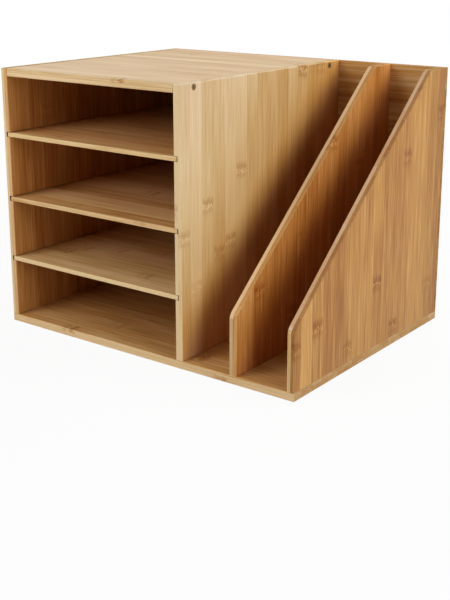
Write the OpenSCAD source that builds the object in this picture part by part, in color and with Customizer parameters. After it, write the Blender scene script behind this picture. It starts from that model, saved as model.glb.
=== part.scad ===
// Desktop file rack in bamboo: four tray bays with pull out shelves, beside two file slots
// with slanted fronts. All boards stand on one base board and are screwed together.
// The front faces -Y, +Z is up, and the origin is the middle of the base's underside.

/* [Overall] */
// Width over the two outer sides
rack_w = 400; // [350:1:480]
// Depth from the front edges to the back of the back panel
rack_d = 308; // [260:1:360]
// Height from the desk to the top
rack_h = 300; // [280:1:360]

/* [Boards] */
// Thickness of the base board
base_t = 9; // [7:0.5:14]
// Thickness of the four upright boards
upright_t = 9; // [8:0.5:14]
// Thickness of the top board
top_t = 9; // [7:0.5:14]
// Thickness of the back panel
back_t = 5; // [4:0.5:9]
// Width of the bevel that eases the edges of the thick boards
edge_ease = 0.6; // [0.3:0.1:1.2]
// Width of the bevel that eases the edges of the shelves and the back panel
thin_edge_ease = 0.4; // [0.2:0.1:0.8]

/* [Tray bays] */
// Clear width of the tray bays
bay_w = 242; // [222:1:280]
// Clear height of the bottom bay
bay_1_h = 66.5; // [50:0.5:75]
// Clear height of the second bay
bay_2_h = 66.5; // [50:0.5:75]
// Clear height of the third bay, the top bay takes what is left
bay_3_h = 70; // [50:0.5:75]

/* [Shelves] */
// Thickness of a shelf
shelf_t = 5; // [3.5:0.5:8]
// Depth of the grooves that hold the ends of a shelf
groove_depth = 5; // [3:0.5:6]
// Height of a groove beyond the thickness of its shelf
groove_play = 0.7; // [0.2:0.1:1]
// Gap between the end of a shelf and the bottom of its groove
shelf_end_gap = 1.1; // [0.3:0.1:1.5]
// Distance from the front edges of the rack back to the front edge of a shelf
shelf_setback = 0.5; // [0:0.5:10]

/* [File slots] */
// Height of a divider's front edge above the base
divider_front_h = 64.5; // [40:0.5:110]
// Length of the flat top of a divider, at the back
divider_top_len = 37; // [20:1:110]
// Radius of the corner between the front edge and the slant
divider_front_r = 12; // [4:1:24]
// Radius of the corner between the slant and the flat top
divider_top_r = 10; // [4:1:24]

/* [Screws] */
// Diameter of the screws that join the thick boards
screw_d = 3.5; // [2.5:0.5:4.5]
// Diameter of their countersunk heads
screw_head_d = 6.6; // [5.5:0.1:7.5]
// Length of these screws
screw_len = 25; // [16:1:30]
// Distance from the ends of a joint to its screws
screw_inset = 22; // [14:1:40]
// Diameter of the screws that hold the back panel
back_screw_d = 3; // [2:0.5:4]
// Diameter of their countersunk heads
back_screw_head_d = 5.6; // [5:0.1:6.5]
// Length of the back panel's screws
back_screw_len = 20; // [12:1:25]
// Distance from the ends of a joint to the back panel's screws
back_screw_inset = 40; // [30:1:50]
// Depth of the heads below the face of the board
head_sink = 0.4; // [0.1:0.1:1]

/* [Hidden] */
// Radial gap round a head and round a shank in the board that it passes through
screw_gap = 0.15;
// Radial gap round a shank in the board that it is driven into
pilot_gap = 0.05;
// Length of the point of a screw as a share of its diameter
point_ratio = 1.2;
// Depth and slot width of the cross recess as shares of the head's diameter
recess_depth_ratio = 0.2;
recess_width_ratio = 0.14;
// Length of a cross recess slot as a share of the head's diameter
recess_len_ratio = 0.6;
// How far a cutter runs past the face that it cuts
over = 1;
// Number of straight steps in the rounded corners of a divider
corner_steps = 10;
$fn = 48;

// Depth of the boards that stand in front of the back panel
body_d = rack_d - back_t;
// Height of the uprights, from the base to the top
upright_h = rack_h - base_t;
front_y = -rack_d / 2;
seam_y = front_y + body_d;

// Width of each of the two equal file slots
slot_w = (rack_w - bay_w - 4 * upright_t) / 2;
// Left faces of the four uprights, from left to right
left_x = -rack_w / 2;
partition_x = left_x + upright_t + bay_w;
divider_x = partition_x + upright_t + slot_w;
right_x = divider_x + upright_t + slot_w;
bay_x = left_x + upright_t;

// Undersides of the three shelves
lower_shelf_z = base_t + bay_1_h;
middle_shelf_z = lower_shelf_z + shelf_t + bay_2_h;
upper_shelf_z = middle_shelf_z + shelf_t + bay_3_h;
shelf_zs = [lower_shelf_z, middle_shelf_z, upper_shelf_z];

// Screw places along the depth, along the height, and along the top's rear edge
joint_ys = [front_y + screw_inset, seam_y - screw_inset];
back_joint_zs = [base_t + back_screw_inset, rack_h - back_screw_inset];
back_joint_xs = [bay_x + back_screw_inset, bay_x + bay_w - back_screw_inset];
top_mid_z = rack_h - top_t / 2;

bamboo = [0.80, 0.62, 0.40];
bamboo_light = [0.85, 0.72, 0.54];
bamboo_dark = [0.72, 0.53, 0.32];
zinc = [0.62, 0.55, 0.42];

// Shapes that repeat

// Rectangle from the origin with its corners cut off at 45 degrees
module eased_rectangle(a, b, ease) {
    polygon([
        [ease, 0], [a - ease, 0], [a, ease], [a, b - ease],
        [a - ease, b], [ease, b], [0, b - ease], [0, ease]
    ]);
}

// Board from the origin with all twelve edges bevelled
module eased_board(size, ease) {
    intersection() {
        linear_extrude(size.z) eased_rectangle(size.x, size.y, ease);
        translate([0, size.y, 0]) rotate([90, 0, 0])
            linear_extrude(size.y) eased_rectangle(size.x, size.z, ease);
        rotate([90, 0, 90]) linear_extrude(size.x) eased_rectangle(size.y, size.z, ease);
    }
}

// Points of an arc of radius r that touches both edges of the corner at b, between a and c
function corner_arc(a, b, c, r) =
    let (
        to_a = (a - b) / norm(a - b),
        to_c = (c - b) / norm(c - b),
        half = acos(to_a * to_c) / 2,
        middle = (to_a + to_c) / norm(to_a + to_c),
        centre = b + middle * r / sin(half),
        start = atan2(-middle.y, -middle.x) + (90 - half),
        sweep = 2 * (90 - half)
    )
    [for (i = [0:corner_steps]) centre + r * [cos(start - sweep * i / corner_steps), sin(start - sweep * i / corner_steps)]];

// Side outline of a divider: front edge, slant, flat top and rear edge, with depth along x
module divider_outline() {
    foot = [0, 0];
    front_corner = [0, divider_front_h];
    top_corner = [body_d - divider_top_len, upright_h];
    top_rear = [body_d, upright_h];
    polygon(concat(
        [foot],
        corner_arc(foot, front_corner, top_corner, divider_front_r),
        corner_arc(front_corner, top_corner, top_rear, divider_top_r),
        [top_rear, [body_d, 0]]
    ));
}

// Divider with its edges bevelled, standing on z = 0 with its left face at x = 0
module slanted_board() {
    rotate([90, 0, 90]) hull() {
        linear_extrude(upright_t) offset(delta = -edge_ease) divider_outline();
        translate([0, 0, edge_ease]) linear_extrude(upright_t - 2 * edge_ease) divider_outline();
    }
}

// Countersunk wood screw, driven down from a face at z = 0
module wood_screw(d, head_d, len) {
    neck = (head_d - d) / 2;
    color(zinc) translate([0, 0, -head_sink]) difference() {
        rotate_extrude() polygon([
            [0, 0], [head_d / 2, 0], [d / 2, -neck], [d / 2, -len + point_ratio * d], [0, -len]
        ]);
        for (turn = [0, 90]) rotate([0, 0, turn])
            translate([-head_d * recess_len_ratio / 2, -head_d * recess_width_ratio / 2, -head_d * recess_depth_ratio])
                cube([head_d * recess_len_ratio, head_d * recess_width_ratio, head_d * recess_depth_ratio + over]);
    }
}

// Hole for that screw: countersink, through hole in a board of thickness t, then a pilot hole
module screw_hole(d, head_d, len, t) {
    neck = (head_d - d) / 2;
    translate([0, 0, -head_sink]) rotate_extrude() polygon([
        [0, head_sink + over], [head_d / 2 + screw_gap, head_sink + over], [head_d / 2 + screw_gap, -screw_gap],
        [d / 2 + screw_gap, -neck - screw_gap], [d / 2 + screw_gap, head_sink - t],
        [d / 2 + pilot_gap, head_sink - t], [d / 2 + pilot_gap, -len - screw_gap], [0, -len - screw_gap]
    ]);
}

// Places of the screws of each joint, each with the local z axis out of the face under the head
module at_left_top() for (y = joint_ys) translate([left_x, y, top_mid_z]) rotate([0, -90, 0]) children();
module at_partition_top() for (y = joint_ys)
    translate([partition_x + upright_t, y, top_mid_z]) rotate([0, 90, 0]) children();
module at_base(x) for (y = joint_ys) translate([x + upright_t / 2, y, 0]) rotate([180, 0, 0]) children();
module at_back(x) for (z = back_joint_zs)
    translate([x + upright_t / 2, rack_d / 2, z]) rotate([-90, 0, 0]) children();
module at_top_back() for (x = back_joint_xs) translate([x, rack_d / 2, top_mid_z]) rotate([-90, 0, 0]) children();

module joint_screw() wood_screw(screw_d, screw_head_d, screw_len);
module joint_hole(t) screw_hole(screw_d, screw_head_d, screw_len, t);
module back_screw() wood_screw(back_screw_d, back_screw_head_d, back_screw_len);
module back_hole() screw_hole(back_screw_d, back_screw_head_d, back_screw_len, back_t);

// Holes in an upright for the screws that come up through the base and in through the back
module upright_holes(x) {
    at_base(x) joint_hole(base_t);
    at_back(x) back_hole();
}

// Grooves for the shelves, cut into the tray bays' two walls from the front edge to the rear edge
module shelf_grooves() {
    for (z = shelf_zs) translate([bay_x - groove_depth, front_y - over, z])
        cube([bay_w + 2 * groove_depth, body_d + 2 * over, shelf_t + groove_play]);
}

// Fixed boards

module base_panel() {
    color(bamboo_dark) difference() {
        translate([left_x, front_y, 0]) eased_board([rack_w, rack_d, base_t], edge_ease);
        for (x = [left_x, partition_x, divider_x, right_x]) at_base(x) joint_hole(base_t);
    }
}

module left_side() {
    color(bamboo) difference() {
        translate([left_x, front_y, base_t]) eased_board([upright_t, body_d, upright_h], edge_ease);
        shelf_grooves();
        upright_holes(left_x);
        at_left_top() joint_hole(upright_t);
    }
}

module partition() {
    color(bamboo) difference() {
        translate([partition_x, front_y, base_t]) eased_board([upright_t, body_d, upright_h], edge_ease);
        shelf_grooves();
        upright_holes(partition_x);
        at_partition_top() joint_hole(upright_t);
    }
}

module middle_divider() {
    color(bamboo) difference() {
        translate([divider_x, front_y, base_t]) slanted_board();
        upright_holes(divider_x);
    }
}

module right_side() {
    color(bamboo) difference() {
        translate([right_x, front_y, base_t]) slanted_board();
        upright_holes(right_x);
    }
}

module top_panel() {
    color(bamboo_light) difference() {
        translate([bay_x, front_y, rack_h - top_t]) eased_board([bay_w, body_d, top_t], edge_ease);
        at_left_top() joint_hole(upright_t);
        at_partition_top() joint_hole(upright_t);
        at_top_back() back_hole();
    }
}

module back_panel() {
    color(bamboo_dark) difference() {
        translate([left_x, seam_y, base_t]) eased_board([rack_w, back_t, upright_h], thin_edge_ease);
        for (x = [left_x, partition_x, divider_x, right_x]) at_back(x) back_hole();
        at_top_back() back_hole();
    }
}

// Shelves that slide out to the front

module shelf(z) {
    side_gap = groove_depth - shelf_end_gap;
    color(bamboo_light) translate([bay_x - side_gap, front_y + shelf_setback, z])
        eased_board([bay_w + 2 * side_gap, body_d - shelf_setback, shelf_t], thin_edge_ease);
}

base_panel();
left_side();
partition();
middle_divider();
right_side();
top_panel();
back_panel();
shelf(upper_shelf_z);  // upper_shelf
shelf(middle_shelf_z);  // middle_shelf
shelf(lower_shelf_z);  // lower_shelf
at_left_top() joint_screw();  // left_top_screws
at_partition_top() joint_screw();  // partition_top_screws
at_base(left_x) joint_screw();  // left_base_screws
at_base(partition_x) joint_screw();  // partition_base_screws
at_base(divider_x) joint_screw();  // divider_base_screws
at_base(right_x) joint_screw();  // right_base_screws
at_back(left_x) back_screw();  // left_back_screws
at_back(partition_x) back_screw();  // partition_back_screws
at_back(divider_x) back_screw();  // divider_back_screws
at_back(right_x) back_screw();  // right_back_screws
at_top_back() back_screw();  // top_back_screws
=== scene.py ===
"""Finishes, lamps, floor and camera for a bamboo desktop file rack."""

import math
import random
from typing import NamedTuple

import bpy
from bpy.props import FloatProperty, FloatVectorProperty, PointerProperty
from bpy.types import Operator, Panel, PropertyGroup
from mathutils import Matrix, Vector


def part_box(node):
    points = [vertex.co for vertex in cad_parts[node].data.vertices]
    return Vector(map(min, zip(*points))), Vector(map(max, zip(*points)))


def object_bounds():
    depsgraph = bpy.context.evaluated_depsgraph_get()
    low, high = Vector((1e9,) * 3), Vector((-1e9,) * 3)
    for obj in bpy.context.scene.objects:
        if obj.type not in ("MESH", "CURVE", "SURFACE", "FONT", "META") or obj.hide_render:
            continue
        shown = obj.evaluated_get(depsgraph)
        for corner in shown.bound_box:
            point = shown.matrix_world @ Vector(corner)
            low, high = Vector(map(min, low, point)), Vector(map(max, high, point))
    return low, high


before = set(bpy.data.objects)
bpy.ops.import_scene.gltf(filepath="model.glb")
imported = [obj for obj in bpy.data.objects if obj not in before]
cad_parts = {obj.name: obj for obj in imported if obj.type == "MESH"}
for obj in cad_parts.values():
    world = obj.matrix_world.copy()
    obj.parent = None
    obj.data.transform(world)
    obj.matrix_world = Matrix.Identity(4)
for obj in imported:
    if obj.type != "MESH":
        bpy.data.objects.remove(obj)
CAD_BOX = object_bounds()

bl_info = {
    "name": "Bamboo File Rack",
    "version": (1, 0, 0),
    "blender": (4, 5, 0),
    "location": "View3D > Sidebar > File Rack",
    "description": "Finishes a bamboo desktop file rack and sets up its studio",
    "category": "Object",
}

MM = 1000.0
X, Y, Z = 0, 1, 2
# Share of a relief that the bumps show
BUMP_STRENGTH = 0.3


def linear(step):
    """Linear value of a screen value given in steps from 0 to 255."""
    share = step / 255
    return ((share + 0.055) / 1.055) ** 2.4 if step > 10 else share / 12.92


def paint(red, green, blue):
    """Linear colour of a screen colour given in steps from 0 to 255."""
    return linear(red), linear(green), linear(blue)


# Sizes and colours that a user would change

class BambooSettings(PropertyGroup):
    """Finish of the laminated bamboo boards."""

    pale: FloatVectorProperty(
        name="Pale fibre", description="Colour of the palest fibres", subtype="COLOR", size=3,
        min=0, max=1, default=paint(230, 201, 154))
    honey: FloatVectorProperty(
        name="Honey", description="Colour of most of the wood", subtype="COLOR", size=3,
        min=0, max=1, default=paint(193, 147, 86))
    caramel: FloatVectorProperty(
        name="Caramel", description="Colour of the darkest strips and fibres", subtype="COLOR", size=3,
        min=0, max=1, default=paint(150, 98, 46))
    strip_width: FloatProperty(
        name="Strip width", description="Width of one laminated strip on a board's face",
        unit="LENGTH", min=0.005, max=0.05, default=0.0198)
    strip_contrast: FloatProperty(
        name="Strip contrast", description="How much neighbouring strips differ in colour",
        subtype="FACTOR", min=0, max=1, default=0.24)
    fibre_contrast: FloatProperty(
        name="Fibre contrast", description="How much the fine lines along the grain stand out",
        subtype="FACTOR", min=0, max=2, default=1.0)
    roughness: FloatProperty(
        name="Roughness", description="Roughness of the satin lacquer",
        subtype="FACTOR", min=0, max=1, default=0.42)


class ScrewSettings(PropertyGroup):
    """Finish of the countersunk screws."""

    plating: FloatVectorProperty(
        name="Plating", description="Colour of the yellow zinc plating", subtype="COLOR", size=3,
        min=0, max=1, default=paint(158, 132, 90))


class StudioSettings(PropertyGroup):
    """Floor, lamps and camera."""

    floor: FloatVectorProperty(
        name="Floor", description="Colour of the floor", subtype="COLOR", size=3,
        min=0, max=1, default=(0.8, 0.8, 0.8))
    azimuth: FloatProperty(
        name="Camera azimuth", description="Angle of the camera to the right of straight ahead",
        subtype="ANGLE", default=math.radians(36.93))
    elevation: FloatProperty(
        name="Camera elevation", description="Angle of the camera above the horizon",
        subtype="ANGLE", default=math.radians(14.49))
    distance: FloatProperty(
        name="Camera distance", description="Distance of the camera from the middle of the rack",
        unit="LENGTH", default=1.233)
    drop: FloatProperty(
        name="Camera drop", description="How far below the middle of the rack the camera aims",
        unit="LENGTH", default=0.0326)
    focal_length: FloatProperty(
        name="Focal length", description="Focal length on a sensor as wide as the frame's long side",
        subtype="DISTANCE_CAMERA", default=63.56)


class RackSettings(PropertyGroup):
    """Everything that the rack's panel shows."""

    bamboo: PointerProperty(type=BambooSettings)
    screws: PointerProperty(type=ScrewSettings)
    studio: PointerProperty(type=StudioSettings)


# Shader maths written as expressions

class Wire:
    """A number in a shader, with Python's operators."""

    def __init__(self, shader, socket):
        self.shader = shader
        self.socket = socket

    def _math(self, operation, *operands):
        return self.shader.math(operation, *operands)

    def __add__(self, other):
        return self._math("ADD", self, other)

    __radd__ = __add__

    def __sub__(self, other):
        return self._math("SUBTRACT", self, other)

    def __rsub__(self, other):
        return self._math("SUBTRACT", other, self)

    def __mul__(self, other):
        return self._math("MULTIPLY", self, other)

    __rmul__ = __mul__

    def __truediv__(self, other):
        return self._math("DIVIDE", self, other)

    def __neg__(self):
        return self * -1.0

    def __abs__(self):
        return self._math("ABSOLUTE", self)

    def __gt__(self, other):
        return self._math("GREATER_THAN", self, other)

    def floor(self):
        return self._math("FLOOR", self)

    def root(self):
        return self._math("SQRT", self)

    def smaller(self, other):
        return self._math("MINIMUM", self, other)

    def larger(self, other):
        return self._math("MAXIMUM", self, other)

    def rise(self, low, high):
        """0 below low, 1 above high and a smooth step between them."""
        node = self.shader.node(
            "ShaderNodeMapRange", {"interpolation_type": "SMOOTHSTEP"},
            {"Value": self, "From Min": low, "From Max": high})
        return Wire(self.shader, node.outputs["Result"])

    def fall(self, low, high):
        """1 below low, 0 above high and a smooth step between them."""
        return 1.0 - self.rise(low, high)


class Shader:
    """Short ways to add nodes to the node tree of a new material or world."""

    def __init__(self, owner):
        owner.use_nodes = True
        self.owner = owner
        self.tree = owner.node_tree
        self.tree.nodes.clear()

    def node(self, kind, settings=None, inputs=None, stops=()):
        """Adds a node, sets it and a ramp's (place, colour) stops, then its sockets' values or links."""
        node = self.tree.nodes.new(kind)
        settings = dict(settings or {})
        if stops:
            ramp = node.color_ramp
            ramp.interpolation = settings.pop("interpolation", "LINEAR")
            while len(ramp.elements) < len(stops):
                ramp.elements.new(1.0)
            for element, (place, colour) in zip(ramp.elements, stops):
                element.position = place
                element.color = colour if len(colour) == 4 else (*colour, 1.0)
        for name, value in settings.items():
            setattr(node, name, value)
        for name, value in (inputs or {}).items():
            socket = node.inputs[name]
            if isinstance(value, Wire):
                value = value.socket
            if isinstance(value, bpy.types.NodeSocket):
                self.tree.links.new(value, socket)
            elif socket.type == "RGBA" and len(value) == 3:
                socket.default_value = (*value, 1.0)
            else:
                socket.default_value = value
        return node

    def math(self, operation, *operands):
        inputs = dict(enumerate(operands))
        return Wire(self, self.node("ShaderNodeMath", {"operation": operation}, inputs).outputs[0])

    def vector(self, x, y, z):
        return self.node("ShaderNodeCombineXYZ", None, {"X": x, "Y": y, "Z": z}).outputs["Vector"]

    def split(self, vector):
        """The three numbers of a vector or colour."""
        node = self.node("ShaderNodeSeparateXYZ", None, {"Vector": vector})
        return [Wire(self, node.outputs[axis]) for axis in "XYZ"]

    def place(self):
        """Place on the object in metres, as three numbers."""
        return self.split(self.node("ShaderNodeTexCoord").outputs["Object"])

    def noise(self, vector, detail=2.0, roughness=0.5):
        """Smooth noise from 0 to 1 with its mean at 0.5."""
        node = self.node(
            "ShaderNodeTexNoise", {"noise_dimensions": "3D"},
            {"Vector": vector, "Scale": 1.0, "Detail": detail, "Roughness": roughness})
        return Wire(self, node.outputs["Fac"])

    def chance(self, vector):
        """A random number from 0 to 1 for each whole numbered place."""
        node = self.node("ShaderNodeTexWhiteNoise", {"noise_dimensions": "3D"}, {"Vector": vector})
        return self.split(node.outputs["Color"])[0]

    def ramp(self, factor, stops, interpolation="LINEAR"):
        """Colour ramp through (place, colour) stops."""
        return self.node("ShaderNodeValToRGB", {"interpolation": interpolation}, {"Fac": factor}, stops)

    def blend(self, factor, first, second, mode="MIX"):
        """Mix of two colours."""
        node = self.node(
            "ShaderNodeMix", {"data_type": "RGBA", "blend_type": mode, "clamp_result": False},
            {0: factor, 6: first, 7: second})
        return node.outputs[2]

    def keep(self, mask, colour, share):
        """A colour of which only the given share is kept where the mask is 1."""
        return self.blend(mask, colour, share, "MULTIPLY")

    def bump(self, height, distance):
        """Normal of a relief, whose height is a share of the distance in metres."""
        node = self.node(
            "ShaderNodeBump", None, {"Height": height, "Strength": BUMP_STRENGTH, "Distance": distance})
        return node.outputs["Normal"]

    def finish(self, **inputs):
        """Ends the material in one surface shader with the given sockets."""
        named = {name.replace("_", " "): value for name, value in inputs.items()}
        surface = self.node("ShaderNodeBsdfPrincipled", None, named)
        self.node("ShaderNodeOutputMaterial", None, {"Surface": surface.outputs["BSDF"]})
        return self.owner


# Bamboo boards

class Board(NamedTuple):
    """How one board is laid up from bamboo. Places are in mm from the board's low corner.

    Pairs are for the layers at the low and at the high face. Tints are shares of the colour that stay.
    """

    # Axes along the fibres and across the strips
    grain: int
    across: int
    seed: int
    # Layers of strips that the board is pressed from, and how dark the glue between two of them is
    plies: int = 2
    joint: float = 0.2
    # Place of a seam between two strips
    seam: float = 10.0
    # How pale the layers are, from -1 to 1
    tones: tuple = (0.0, 0.0)
    # How much paler their edges are that are sawn along the grain
    rims: tuple = (0.25, 0.25)
    # How much paler their slopes are that are sawn across it, and the tint of those
    slopes: tuple = (0.0, 0.0)
    slant: tuple = (1.0, 1.0, 1.0)
    # How red the layers are, from 0 to 1, and the tint of the reddest wood
    warmth: tuple = (0.0, 0.0)
    ember: tuple = (1.05, 0.84, 0.68)
    # Tint of the ends that are cut across the grain; on the partition and the left side partly a painted
    # sheen on their top ends, and on the shelves painted shade on their ends in the grooves
    end: tuple = (0.92, 1.0, 1.12)
    # Painted light and shade on the high layer, as tints by mm above the diagonal of a file slot, lowest
    # first: painted shade deep in the slot, a warmer painted shadow edge at its mouth, painted light on
    # the rest
    painted_slot_shading: tuple = ()
    # How much the fine fibres and the bands of several mm stand out
    figure: float = 1.0
    bands: float = 0.4
    # Single strips, counted from the seam: how much paler, from -1 to 1, and how pink, from -1 to 1
    strips: dict = {}
    # Marks where the cane had a joint: place along, place across, strength. None: dealt by chance
    knuckles: tuple = ()


BOARDS = {
    "left_side": Board(
        grain=Z, across=Y, seed=11, joint=0.3, seam=12.0, tones=(0.05, -0.25), rims=(0.36, 0.31),
        # Its end tint is partly a painted sheen on its top end
        warmth=(0.0, 0.85), end=(1.07, 1.55, 2.3), figure=0.7,
        strips={
            -1: (0.12, 0.1), 0: (0.1, 0.1), 1: (-0.25, 0.3), 2: (-0.4, 0.4), 3: (-0.35, 0.4),
            4: (-0.35, 0.4), 5: (-0.3, 0.4), 6: (-0.2, 0.3), 7: (-0.2, 0.3), 8: (-0.05, 0.3),
            9: (-0.1, 0.2), 10: (0.15, 0.0), 11: (0.0, 0.3), 12: (-0.2, -0.2), 13: (0.1, 0.1),
            14: (-0.05, 0.3)},
        knuckles=((60, 12, 0.6), (175, 30, 0.7), (236, 55, 0.4))),
    "partition": Board(
        grain=Z, across=Y, seed=23, joint=0.05, seam=15.0, tones=(0.2, 0.17), rims=(0.35, 0.25),
        # Its end tint is partly a painted sheen on its top end
        end=(1.26, 1.52, 2.15), figure=0.6, bands=0.3,
        # Painted shade deep in the file slot and painted light above it
        painted_slot_shading=(
            (-15, (0.9, 0.73, 0.76)), (18, (1.11, 0.97, 0.66)), (70, (0.95, 0.94, 0.86)),
            (150, (0.98, 1.03, 1.07)), (270, (1.02, 1.12, 1.38))),
        strips={
            -1: (0.4, 0.0), 0: (0.55, 0.2), 1: (0.27, -0.2), 2: (0.27, -0.2), 3: (0.43, 0.2),
            4: (0.45, 0.1), 5: (0.3, 0.0), 6: (0.2, 0.0), 7: (0.28, 0.4), 8: (0.0, 0.2),
            9: (0.2, 0.2), 10: (0.15, 0.1), 11: (-0.1, -0.2), 12: (0.1, 0.3), 13: (0.05, 0.2),
            14: (0.0, 0.0)},
        knuckles=(
            (188, 104, 0.65), (160, 45, 0.65), (131, 6, 0.5), (104, 64, 0.5), (113, 84, 0.55),
            (74, 27, 0.25), (286, 216, 0.9), (60, 190, 0.6), (286, 268, 0.5), (150, 275, 0.7))),
    "middle_divider": Board(
        grain=Z, across=Y, seed=37, joint=0.6, seam=10.0, tones=(0.3, -0.25), rims=(0.24, 0.04),
        slopes=(0.32, 0.12), slant=(1.0, 0.96, 0.9), warmth=(0.5, 1.0),
        # Painted shade deep in the file slot and painted light above it
        painted_slot_shading=(
            (-60, (0.82, 0.7, 0.95)), (-15, (0.97, 0.86, 1.1)), (13, (1.13, 1.05, 0.87)),
            (70, (0.94, 0.98, 1.02))),
        strips={
            -1: (0.0, -0.2), 0: (0.39, -0.2), 1: (-0.42, 0.0), 2: (-0.3, 0.1), 3: (-0.32, 0.2),
            4: (-0.26, 0.1), 5: (-0.28, 0.0), 6: (-0.18, 0.2), 7: (-0.1, 0.3), 8: (0.03, 0.1),
            9: (-0.1, 0.2), 10: (0.3, 0.0), 11: (0.32, -0.1), 12: (0.2, 0.0), 13: (-0.03, 0.2),
            14: (0.42, 0.0)},
        knuckles=(
            (215, 186, 1.0), (80, 32, 0.9), (120, 120, 0.4), (40, 90, 0.6), (180, 240, 0.5),
            (90, 280, 0.6))),
    "right_side": Board(
        grain=Z, across=Y, seed=41, joint=0.8, seam=11.0, tones=(0.3, -0.45), rims=(0.3, 0.02),
        slopes=(-0.03, -0.07), slant=(0.98, 0.99, 1.16), warmth=(0.35, 0.6), ember=(0.97, 0.88, 0.56),
        figure=0.85,
        strips={
            -1: (-0.25, -0.7), 0: (0.55, 0.2), 1: (-0.12, -0.4), 2: (-0.15, -0.2), 3: (-0.35, -0.4),
            4: (-0.05, -0.3), 5: (0.16, -0.2), 6: (0.12, 0.1), 7: (0.0, -0.2), 8: (-0.15, 0.0),
            9: (-0.1, 0.0), 10: (-0.1, 0.0), 11: (0.2, 0.0), 12: (0.05, -0.3), 13: (-0.1, -1.0),
            14: (-0.55, -1.0)},
        knuckles=(
            (201, 213, 0.9), (240, 292, 0.9), (72, 162, 1.0), (55, 42, 1.0), (12, 204, 0.9),
            (42, 2, 0.8), (16, 102, 0.6), (270, 238, 0.5), (42, 283, 0.4))),
    "base_panel": Board(
        grain=X, across=Y, seed=53, seam=12.0, tones=(0.15, 0.15), rims=(0.38, 0.38),
        warmth=(0.45, 0.4), end=(0.8, 0.9, 1.05),
        strips={
            -1: (-0.12, -0.3), 0: (0.07, 0.1), 1: (0.0, 0.1), 2: (0.0, 0.4), 3: (-0.18, 0.3),
            4: (-0.35, 0.3), 5: (-0.33, 0.3), 6: (-0.15, 0.4), 7: (0.1, -0.1), 8: (-0.15, 0.2),
            9: (0.0, -0.3), 10: (0.15, 0.1), 11: (-0.1, 0.3), 12: (0.1, -0.2), 13: (-0.2, 0.1),
            14: (0.05, 0.0)},
        knuckles=(
            (91, 3, 1.0), (355, 3, 1.0), (268, 24, 0.9), (130, 50, 0.5), (210, 90, 0.5),
            (310, 130, 0.6))),
    "top_panel": Board(
        grain=X, across=Y, seed=62, joint=0.15, seam=9.0, tones=(0.35, 0.6), rims=(0.1, 0.0),
        figure=0.8, bands=0.6,
        strips={
            0: (0.22, 0.4), 2: (0.12, 0.2), 7: (-0.1, 0.0), 8: (-0.15, 0.2), 9: (0.2, 0.3),
            10: (-0.15, 0.0), 12: (-0.12, 0.0), 13: (-0.15, 0.0)},
        knuckles=((168, 4, 1.0), (60, 260, 0.6), (190, 120, 0.3), (230, 240, 0.5), (130, 295, 0.4))),
    "back_panel": Board(
        grain=X, across=Z, seed=71, plies=1, seam=8.0, tones=(0.05, 0.05), rims=(-0.2, -0.2),
        warmth=(0.25, 0.25), end=(0.6, 0.58, 0.53), figure=0.7, bands=1.2),
    "upper_shelf": Board(
        grain=X, across=Y, seed=83, plies=1, seam=10.0, tones=(0.36, 0.36), rims=(0.1, 0.1),
        # Its end tint is painted shade on the shelf's ends in the grooves
        warmth=(0.6, 0.6), end=(0.2, 0.14, 0.1), bands=0.9,
        strips={
            -1: (0.0, -1.0), 0: (-0.16, 0.5), 1: (-0.04, 0.9), 2: (-0.1, 0.5), 3: (0.0, 0.0),
            4: (0.05, 0.5), 5: (0.05, 0.6), 6: (-0.05, 0.5), 7: (-0.1, 0.5), 8: (0.1, 0.3),
            9: (-0.1, 0.1)}),
    "middle_shelf": Board(
        grain=X, across=Y, seed=89, plies=1, seam=2.5, tones=(0.55, 0.55), rims=(-0.05, -0.05),
        # Its end tint is painted shade on the shelf's ends in the grooves
        warmth=(0.6, 0.6), end=(0.2, 0.14, 0.1), bands=0.9,
        strips={
            -1: (0.0, -0.4), 0: (-0.37, -0.4), 1: (0.17, -0.8), 2: (0.22, 0.2), 3: (-0.32, 0.3),
            4: (0.18, 0.3), 5: (0.6, 0.2), 6: (0.23, 0.4), 7: (-0.1, 0.3), 8: (-0.15, 0.4),
            9: (-0.3, 0.2)}),
    "lower_shelf": Board(
        grain=X, across=Y, seed=97, plies=1, seam=4.0, tones=(0.6, 0.6), rims=(0.5, 0.5),
        # Its end tint is painted shade on the shelf's ends in the grooves
        warmth=(0.3, 0.3), end=(0.2, 0.14, 0.1), bands=0.7,
        strips={
            -1: (0.0, -0.4), 0: (0.13, -0.4), 1: (-0.04, -0.9), 2: (-0.16, -0.8), 3: (-0.04, 0.2),
            4: (0.1, 0.6), 5: (-0.25, 0.4), 6: (-0.42, 0.4), 7: (-0.3, 0.3), 8: (-0.2, 0.3),
            9: (0.1, 0.0)}),
}
# Boards whose groove walls are darkened with painted shade, and boards with a slanted edge
GROOVED = ("left_side", "partition")
SLANTED = ("middle_divider", "right_side")

# Share of a two layer board's thickness that its low layer takes
LOW_LAYER = 0.52
# Number of the first strip in a board's table, which starts before the board does
FIRST_STRIP = -2
# Share of the strip contrast that is left to chance on a board whose strips are given
LEFT_TO_CHANCE = 0.2
# Steps through the noise from one strip and from one seed to the next
STRIP_STEP = 13.7
SEED_STEP = 17.3
# Length in mm over which a knuckle wanders along the fibres within its strip
KNUCKLE_WANDER = 8.0
# Share of the fibres' contrast and of the red that smooth slopes lose. The strips' paleness loses it on
# slopes and on ends.
SLOPE_LOSS = 0.7
# Rise of a file slot's diagonal per mm from the front, and the mm below and above it that its painted
# shading spans
SLOT_RISE = 0.9
SLOT_SHADING_LOW = -100.0
SLOT_SHADING_HIGH = 300.0
# How dark the glue between two strips is
STRIP_JOINT = 0.35
# Height of the fibres' relief in metres
FIBRE_RELIEF = 0.00012

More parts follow.
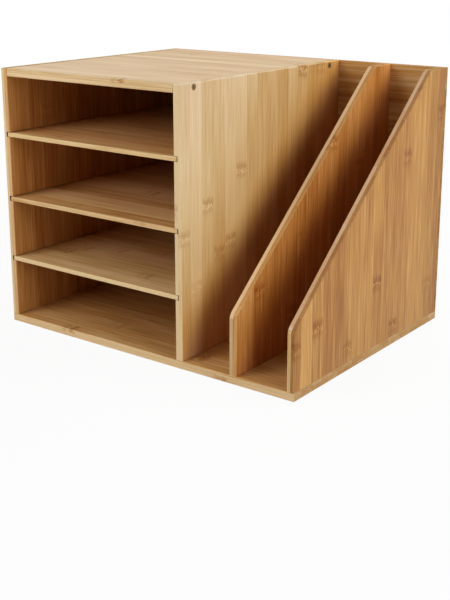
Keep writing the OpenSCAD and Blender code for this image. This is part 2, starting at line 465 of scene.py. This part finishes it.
# Shares of the colour that stay where the wood is most like this
YELLOWEST = (0.98, 1.01, 0.95)
PINKEST = (1.02, 0.985, 1.04)
KNUCKLE_STAIN = (0.66, 0.47, 0.3)
KNUCKLE_FLECK = (1.22, 1.36, 1.58)
GLUE_LINE = (0.45, 0.3, 0.2)
# Painted shade in grooves and screw holes
RECESS_SHADE = (0.22, 0.16, 0.12)
# Arrises: rubbed wear and a painted highlight
RUBBED_AND_HIGHLIT = (1.08, 1.1, 1.12)


def strip_table(board, length, width, strip_width):
    """Ramp stops, one per strip: its knuckle's place and strength, how pale and how pink the strip is."""
    # One strip more than the width holds, since the seams don't start at its edge, and those before it
    count = math.ceil(width / strip_width) + 1 - FIRST_STRIP
    dealer = random.Random(board.seed)
    rows = []
    for row in range(count):
        index = row + FIRST_STRIP
        low = board.seam + index * strip_width
        marks = [mark for mark in board.knuckles if low <= mark[1] < low + strip_width]
        place = dealer.uniform(0.08, 0.92)
        strength = dealer.choice((0.0, 0.4, 0.7, 0.9))
        if marks:
            place = marks[0][0] / length
            strength = marks[0][2]
        elif board.knuckles:
            strength = 0.0
        pale, pink = board.strips.get(index, (0.0, dealer.uniform(-0.6, 0.6)))
        rows.append((row / count, (place, strength, 0.5 + pale / 2, 0.5 + pink / 2)))
    return rows


def bamboo(node, board, settings):
    """Solid bamboo: strips, layers, fibres and knuckles through the whole thickness of a board, with some
    painted light and shade.
    """
    shader = Shader(bpy.data.materials.new("bamboo_" + node))
    low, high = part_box(node)
    size = (high - low) * MM
    thick = X + Y + Z - board.grain - board.across
    place = shader.place()
    along, across, depth = ((place[axis] - low[axis]) * MM for axis in (board.grain, board.across, thick))
    normal = shader.split(shader.node("ShaderNodeNewGeometry").outputs["Normal"])
    facing = [abs(part) for part in normal]

    # Strips, in one or two layers that are set half a strip apart
    strip = settings.strip_width * MM
    border = size[thick] * LOW_LAYER
    upper = depth > border if board.plies == 2 else 1.0
    lane = (across - board.seam) / strip + (1.0 - upper) * 0.5
    index = lane.floor()
    within = lane - index
    edge = within.smaller(1.0 - within)
    luck = shader.chance(shader.vector(index + 3.5, upper * 7.0 + 0.5, board.seed + 0.5))
    rows = strip_table(board, size[board.grain], size[board.across], strip)
    table = shader.ramp((index + (0.5 - FIRST_STRIP)) / len(rows), rows, "CONSTANT")
    mark, strength, pale = shader.split(table.outputs["Color"])
    pink = Wire(shader, table.outputs["Alpha"])

    # Fibres, from broad bands down to the short dashes of single bundles, which end at each strip's edge
    start = index * STRIP_STEP + board.seed * SEED_STEP

    def streaks(width, layer, length, detail=1.0, roughness=0.5):
        """Noise with features of these mm across the strips, through the layers and along the fibres."""
        where = shader.vector(across / width + start, depth / layer, along / length)
        return shader.noise(where, detail, roughness)

    drift = streaks(60.0, 9.0, 130.0)
    band = streaks(7.0, 6.0, 260.0)
    pin = streaks(1.6, 1.6, 130.0, 3.0, 0.7)
    dash = streaks(0.7, 0.7, 45.0)
    blush = shader.noise(shader.vector(across / 3.5 + start, depth / 5.0, along / 190.0 + 7.0), 1.0)

    # Knuckles, where the cane had its joints: a dark brow, pale flecks under it and streaks below them.
    # Here reach is the distance in mm past the joint along the fibres, and the joint wanders a little.
    spot = mark * upper + (1.0 - mark) * (1.0 - upper)
    strength = strength * edge.rise(0.0, 0.08)
    wave = shader.noise(shader.vector(across / 4.0 + start, depth / 20.0, 0.5), 2.0) - 0.5
    reach = along - spot * size[board.grain] + wave * KNUCKLE_WANDER
    mottle = streaks(1.3, 1.6, 3.0, 2.0, 0.6)
    brow = reach.rise(1.0, 2.6) * (reach - pin * 14.0).fall(-1.5, 4.0) * mottle.rise(0.3, 0.5)
    below = (-reach).rise(2.5, 4.5) * (-reach - pin * 12.0).fall(0.0, 4.5)
    middle = abs(reach).fall(2.8, 4.0)
    stain = (brow + below * 0.5 + middle * mottle.rise(0.5, 0.6)).smaller(1.0) * strength
    fleck = middle * mottle.fall(0.43, 0.53) * strength * (1.0 - facing[board.across])
    halo = abs(reach + 1.0).fall(2.0, 16.0) * pin.fall(0.35, 0.6) * strength

    # Edges sawn along the grain, slopes sawn across it, and ends, which on a slanted board start only
    # where the slopes stop
    rim = facing[board.across].rise(0.5, 0.9)
    slope = facing[board.grain].rise(0.2, 0.6) * facing[board.grain].fall(0.85, 0.95)
    cut = facing[board.grain].rise(*((0.85, 0.95) if node in SLANTED else (0.5, 0.65)))

    def layered(pair):
        """The first of a pair of numbers in the low layer and the second in the high one."""
        return pair[0] + (pair[1] - pair[0]) * upper

    # How pale the wood is, from the board down to the fibres. Pale wood shows the calmer figure, and
    # slopes sawn across the grain are smooth.
    contrast = settings.strip_contrast * (LEFT_TO_CHANCE if board.strips else 1.0)
    base = (
        0.5 + layered(board.tones) * 0.5
        + (pale - 0.5) * (1.0 - slope.larger(cut) * SLOPE_LOSS)
        + (luck - 0.5) * contrast
        + (drift - 0.5) * 0.5
        + rim * layered(board.rims)
        + slope * layered(board.slopes)
    )
    figure = (band - 0.5) * board.bands + ((pin - 0.5) * 1.25 - (dash - 0.5) * 1.3) * board.figure
    calm = (1.25 - base * 0.9).larger(0.3) * (1.0 - slope * SLOPE_LOSS) * settings.fibre_contrast
    shades = ((0.0, settings.caramel), (0.5, settings.honey), (1.0, settings.pale))
    colour = shader.ramp(base + figure * calm, shades).outputs["Color"]

    # Tints of the wood and of its knuckles and ends, with painted light and shade along file slots and on
    # some ends
    hue = pink + (blush - 0.5) + slope * 0.7
    colour = shader.keep(1.0, colour, shader.blend(hue, YELLOWEST, PINKEST))
    red = (1.0 - slope * SLOPE_LOSS) * (1.0 - rim * 0.5) * layered(board.warmth)
    colour = shader.keep(red + (0.5 - band) * board.bands * 0.7, colour, board.ember)
    # Painted light and shade along a file slot: darker deep in it, warmer at the shadow's edge, paler
    # above
    if board.painted_slot_shading:
        span = SLOT_SHADING_HIGH - SLOT_SHADING_LOW
        stops = [((mm - SLOT_SHADING_LOW) / span, share) for mm, share in board.painted_slot_shading]
        slot_shading = shader.ramp((along - across * SLOT_RISE - SLOT_SHADING_LOW) / span, stops).outputs["Color"]
        colour = shader.keep((1.0 - rim) * upper, colour, slot_shading)
    if node in SLANTED:
        colour = shader.keep(slope, colour, board.slant)
    colour = shader.keep(stain.larger(halo * 0.3), colour, KNUCKLE_STAIN)
    colour = shader.keep(fleck, colour, KNUCKLE_FLECK)
    # Ends cut across the grain: their own tint, partly painted sheen on the top ends of the partition and
    # the left side, and painted shade on the shelves' ends
    colour = shader.keep(cut, colour, board.end)

    # Glue lines between strips and between layers
    glue = edge.fall(0.0, 0.015) * STRIP_JOINT
    if board.plies == 2:
        glue = glue.larger(abs(depth - border).fall(0.2, 0.6) * (1.0 - slope * 0.8) * board.joint)
    colour = shader.keep(glue, colour, GLUE_LINE)

    # Walls of screw holes and grooves, which lie well inside the board's outer faces, are darkened with
    # painted shade
    inset = [(place[axis] - low[axis]).smaller(high[axis] - place[axis]) * MM for axis in (X, Y, Z)]
    recess_shade = 0.0
    if node in GROOVED:
        recess_shade = facing[Y].fall(0.1, 0.5) * inset[X].smaller(inset[Z]).rise(0.3, 0.8)
    if node not in SLANTED:
        wall = facing[thick].fall(0.85, 0.98)
        recess_shade = (wall * inset[board.grain].smaller(inset[board.across]).rise(1.2, 1.8)).larger(recess_shade)
        colour = shader.keep(recess_shade, colour, RECESS_SHADE)

    # Arrises, where the second smallest distance to a face is small too, are made pale in places, partly
    # as rubbed wear and partly as a painted highlight
    nearest = inset[X].smaller(inset[Y]).smaller(inset[Z])
    farthest = inset[X].larger(inset[Y]).larger(inset[Z])
    second = inset[X] + inset[Y] + inset[Z] - nearest - farthest
    arris = second.fall(0.4, 1.3) * mottle.rise(0.3, 0.6)
    colour = shader.keep(arris, colour, RUBBED_AND_HIGHLIT)

    height = pin * 0.6 + dash * 0.2 - glue * 1.5 - stain * 0.4 + fleck * 0.3
    roughness = settings.roughness + (pin - 0.5) * 0.25 + cut.larger(recess_shade) * 0.4 - arris * 0.05
    return shader.finish(
        Base_Color=colour, Roughness=roughness, Normal=shader.bump(height, FIBRE_RELIEF),
        IOR=1.45, Specular_IOR_Level=0.3)


def finish_boards(context, nodes):
    """Gives each named board its own bamboo."""
    settings = context.scene.rack.bamboo
    for node in nodes:
        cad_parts[node].material_slots[0].material = bamboo(node, BOARDS[node], settings)


class RACK_OT_uprights(Operator):
    """Finish the sides, the partition and the divider"""

    bl_idname = "rack.uprights"
    bl_label = "Uprights"

    def execute(self, context):
        finish_boards(context, ("left_side", "partition", "middle_divider", "right_side"))
        return {"FINISHED"}


class RACK_OT_base(Operator):
    """Finish the base board"""

    bl_idname = "rack.base"
    bl_label = "Base"

    def execute(self, context):
        finish_boards(context, ("base_panel",))
        return {"FINISHED"}


class RACK_OT_top(Operator):
    """Finish the top board"""

    bl_idname = "rack.top"
    bl_label = "Top"

    def execute(self, context):
        finish_boards(context, ("top_panel",))
        return {"FINISHED"}


class RACK_OT_back(Operator):
    """Finish the back panel"""

    bl_idname = "rack.back"
    bl_label = "Back"

    def execute(self, context):
        finish_boards(context, ("back_panel",))
        return {"FINISHED"}


class RACK_OT_shelves(Operator):
    """Finish the three pull out shelves"""

    bl_idname = "rack.shelves"
    bl_label = "Shelves"

    def execute(self, context):
        finish_boards(context, ("upper_shelf", "middle_shelf", "lower_shelf"))
        return {"FINISHED"}


# Grains of the screws' plating per metre, how dark and bright they make it, and their relief in metres
GRIT = 900.0
GRIT_DARK = 0.7
GRIT_BRIGHT = 1.2
GRIT_RELIEF = 0.0001


class RACK_OT_screws(Operator):
    """Finish the screws"""

    bl_idname = "rack.screws"
    bl_label = "Screws"

    def execute(self, context):
        shader = Shader(bpy.data.materials.new("plated_screw"))
        plating = context.scene.rack.screws.plating
        dark = tuple(part * GRIT_DARK for part in plating)
        bright = tuple(min(1.0, part * GRIT_BRIGHT) for part in plating)
        x, y, z = shader.place()
        grit = shader.noise(shader.vector(x * GRIT, y * GRIT, z * GRIT), 3.0)
        material = shader.finish(
            Base_Color=shader.blend(grit, dark, bright), Metallic=0.7, Roughness=grit * 0.25 + 0.3,
            Normal=shader.bump(grit, GRIT_RELIEF))
        for name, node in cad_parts.items():
            if name.endswith("_screws"):
                node.material_slots[0].material = material
        return {"FINISHED"}


# Studio

# name: (degrees to the right of straight ahead, degrees up, size in metres, strength in watts)
LAMPS = {
    "right": (76, 17, 0.9, 13.0),
    "right_rear": (120, 35, 0.9, 8.1),
    "front": (-25, 20, 0.9, 10.3),
    "high_front": (-40, 45, 0.9, 5.5),
    "behind": (180, 42, 0.9, 11.9),
}
LAMP_DISTANCE = 1.6
# Strength of the even light from all around
WORLD_LIGHT = 0.01
# Half the floor's width in metres
FLOOR_REACH = 6.0
# Share of the lit floor, with the rack's shadow, in the white that is seen, and the metres from the
# middle over which it fades out
SHADOW_SHARE = 0.07
SHADOW_FADE = (0.4, 1.6)
# The photograph is a square picture at the top of a taller frame, an eighth of it off centre
FRAME_SHIFT = -0.125


class RACK_OT_stage(Operator):
    """Set up the floor, the lamps, the world and the camera"""

    bl_idname = "rack.stage"
    bl_label = "Stage"

    def execute(self, context):
        studio = context.scene.rack.studio
        middle = (CAD_BOX[0] + CAD_BOX[1]) / 2
        self.make_floor(context, studio)
        self.make_lamps(context, middle)
        self.make_world(context)
        self.make_camera(context, studio, middle)
        context.scene.view_settings.view_transform = "Standard"
        return {"FINISHED"}

    def make_floor(self, context, studio):
        """White to the eye apart from the rack's shadow, and of the floor's colour to the light."""
        reach = FLOOR_REACH
        corners = [(-reach, -reach, 0), (reach, -reach, 0), (reach, reach, 0), (-reach, reach, 0)]
        mesh = bpy.data.meshes.new("floor")
        mesh.from_pydata(corners, [], [(0, 1, 2, 3)])
        floor = bpy.data.objects.new("floor", mesh)
        context.collection.objects.link(floor)
        floor.location.z = CAD_BOX[0].z
        shader = Shader(bpy.data.materials.new("floor"))
        x, y, _ = shader.place()
        away = (x * x + y * y).root().rise(*SHADOW_FADE)
        white_share = self.seen(shader) * (1.0 - SHADOW_SHARE + away * SHADOW_SHARE)
        matt = shader.node("ShaderNodeBsdfDiffuse", None, {"Color": tuple(studio.floor)})
        white = shader.node("ShaderNodeEmission", None, {"Color": (1, 1, 1), "Strength": 1.0})
        mix = shader.node(
            "ShaderNodeMixShader", None,
            {0: white_share, 1: matt.outputs["BSDF"], 2: white.outputs["Emission"]})
        shader.node("ShaderNodeOutputMaterial", None, {"Surface": mix.outputs["Shader"]})
        mesh.materials.append(shader.owner)

    def seen(self, shader):
        """1 where the camera, a reflection or glass looks, and 0 for light."""
        path = shader.node("ShaderNodeLightPath")
        rays = ("Is Camera Ray", "Is Glossy Ray", "Is Transmission Ray")
        camera, glossy, through = [Wire(shader, path.outputs[name]) for name in rays]
        return camera.larger(glossy).larger(through)

    def make_lamps(self, context, middle):
        """Soft square lamps, none of which shows in the lacquer, where it would glare from low angles."""
        for name, (azimuth, elevation, side, strength) in LAMPS.items():
            light = bpy.data.lights.new(name, "AREA")
            light.shape = "SQUARE"
            light.size = side
            light.energy = strength
            level = Matrix.Rotation(math.radians(azimuth), 3, "Z")
            turn = level @ Matrix.Rotation(math.radians(90 - elevation), 3, "X")
            lamp = bpy.data.objects.new(name, light)
            lamp.location = middle + turn @ Vector((0, 0, LAMP_DISTANCE))
            lamp.rotation_euler = turn.to_euler()
            lamp.visible_glossy = False
            context.collection.objects.link(lamp)

    def make_world(self, context):
        """White to the eye and in reflections, and nearly dark to the light."""
        shader = Shader(bpy.data.worlds.new("studio"))
        seen = self.seen(shader)
        light = shader.node("ShaderNodeBackground", None, {"Color": (1, 1, 1), "Strength": WORLD_LIGHT})
        white = shader.node("ShaderNodeBackground", None, {"Color": (1, 1, 1), "Strength": 1.0})
        mix = shader.node(
            "ShaderNodeMixShader", None, {0: seen, 1: light.outputs[0], 2: white.outputs[0]})
        shader.node("ShaderNodeOutputWorld", None, {"Surface": mix.outputs["Shader"]})
        context.scene.world = shader.owner

    def make_camera(self, context, studio, middle):
        data = bpy.data.cameras.new("camera")
        data.sensor_width = 36.0
        data.lens = studio.focal_length
        data.shift_y = FRAME_SHIFT
        camera = bpy.data.objects.new("camera", data)
        level = Matrix.Rotation(studio.azimuth, 4, "Z")
        turn = level @ Matrix.Rotation(math.pi / 2 - studio.elevation, 4, "X")
        offset = turn.to_3x3() @ Vector((0, -studio.drop, studio.distance))
        camera.matrix_world = Matrix.Translation(middle + offset) @ turn
        context.collection.objects.link(camera)
        context.scene.camera = camera


OPERATORS = (
    RACK_OT_uprights, RACK_OT_base, RACK_OT_top, RACK_OT_back, RACK_OT_shelves, RACK_OT_screws,
    RACK_OT_stage)


class RACK_PT_rack(Panel):
    """Lists the steps that finish the rack, and its settings."""

    bl_label = "File Rack"
    bl_idname = "RACK_PT_rack"
    bl_space_type = "VIEW_3D"
    bl_region_type = "UI"
    bl_category = "File Rack"

    def draw(self, context):
        rack = context.scene.rack
        for operator in OPERATORS:
            self.layout.operator(operator.bl_idname)
        for group in (rack.bamboo, rack.screws, rack.studio):
            box = self.layout.box()
            for name in group.bl_rna.properties.keys():
                if name not in ("rna_type", "name"):
                    box.prop(group, name)


CLASSES = (BambooSettings, ScrewSettings, StudioSettings, RackSettings, *OPERATORS, RACK_PT_rack)


def register():
    for cls in CLASSES:
        bpy.utils.register_class(cls)
    bpy.types.Scene.rack = PointerProperty(type=RackSettings)


def unregister():
    del bpy.types.Scene.rack
    for cls in reversed(CLASSES):
        bpy.utils.unregister_class(cls)


def main():
    """Builds everything in order."""
    register()
    bpy.ops.rack.uprights()
    bpy.ops.rack.base()
    bpy.ops.rack.top()
    bpy.ops.rack.back()
    bpy.ops.rack.shelves()
    bpy.ops.rack.screws()
    bpy.ops.rack.stage()


if __name__ == "__main__":
    main()
